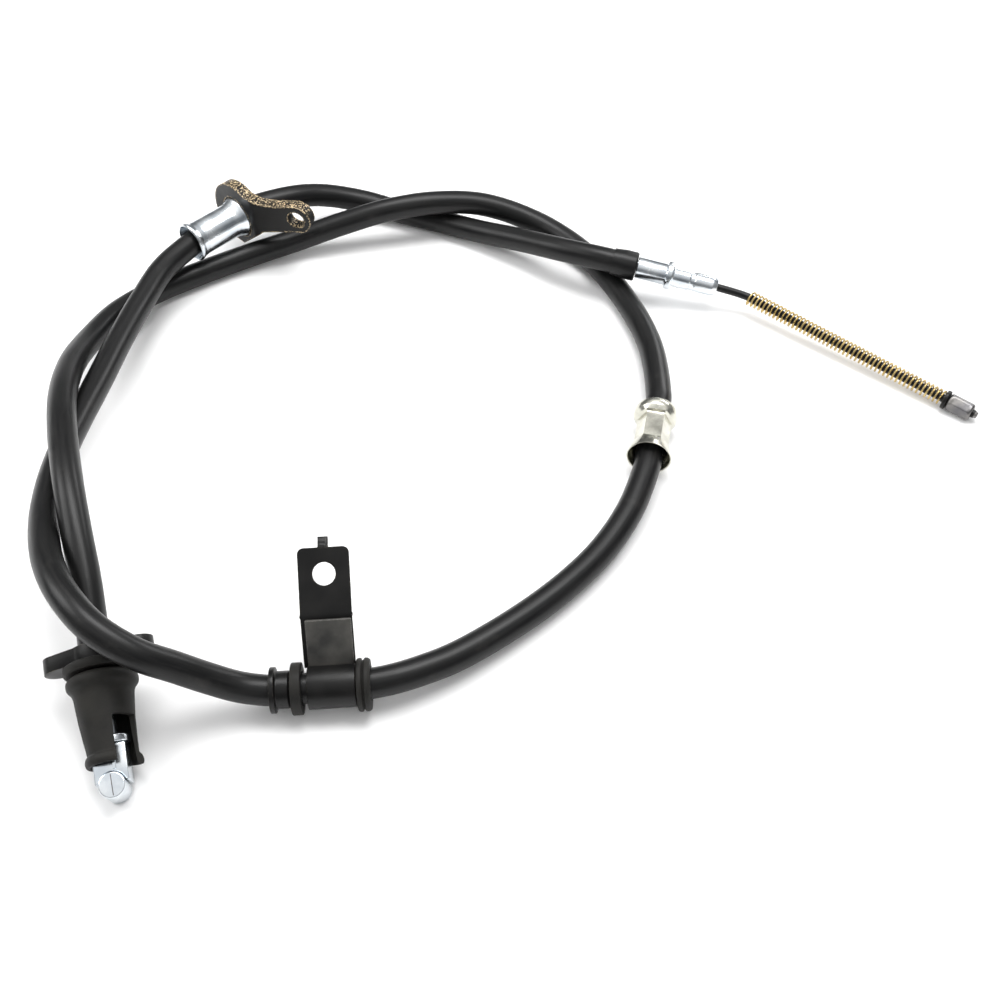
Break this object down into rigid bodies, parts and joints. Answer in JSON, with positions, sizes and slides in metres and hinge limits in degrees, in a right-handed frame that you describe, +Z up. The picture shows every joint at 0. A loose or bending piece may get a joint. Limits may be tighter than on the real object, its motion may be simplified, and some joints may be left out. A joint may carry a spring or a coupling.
{
  "type": "parking brake cable",
  "caption": "Parking brake cable: jacketed casing with a booted lever end, strap bracket, sleeve with an eared plate, crimped ferrules and a spring over the core's end.",
  "frame": {"origin": "middle of the footprint, on the floor that the cable lies on", "axes": "+Z up from the floor, +Y away from the viewer of the picture, +X to the picture's right"},
  "size_m": [0.3864, 0.3264, 0.0503],
  "materials": {
    "jacket": "satin black extruded jacket",
    "rubber": "matt moulded rubber",
    "black_steel": "black coating, satin, chipped at the edges",
    "zinc": "bright zinc plating",
    "gold": "yellow passivated zinc on spring wire",
    "steel": "bare grey steel",
    "core": "coated wire rope"
  },
  "bodies": {
    "base": {"casing": "jacket", "core": "core", "core_bend": "core", "mid_ferrule": "zinc", "bracket": "black_steel", "bracket_leaf": "black_steel", "stop_ring": "black_steel", "washer_left": "rubber", "washer_right": "rubber", "sleeve": "zinc", "sleeve_plate": "black_steel", "flange_plate": "black_steel", "guide_tube": "steel", "boot_seat": "rubber", "boot": "rubber", "jacket_cuff": "rubber", "end_ferrule": "zinc", "spring": "gold"},
    "lever_end": {"pull_rod": "steel", "rod_collar": "zinc", "fitting_body": "zinc", "cross_pin": "zinc"},
    "brake_end": {"core_tip": "core", "spring_washer": "black_steel", "crimp_barrel": "steel", "wire_nub": "core"}
  },
  "joints": [
    {"name": "lever_pull", "type": "slide", "parent": "base", "child": "lever_end", "axis": [0.2332, -0.9208, -0.3128], "range_m": [0, 0.02]},
    {"name": "brake_draw", "type": "slide", "parent": "base", "child": "brake_end", "axis": [-0.7862, 0.616, 0.0496], "range_m": [0, 0.02], "deforming": ["spring", "core_bend"]}
  ],
  "couplings": [
    {"joint": "brake_draw", "follows": "lever_pull", "ratio": 1}
  ]
}
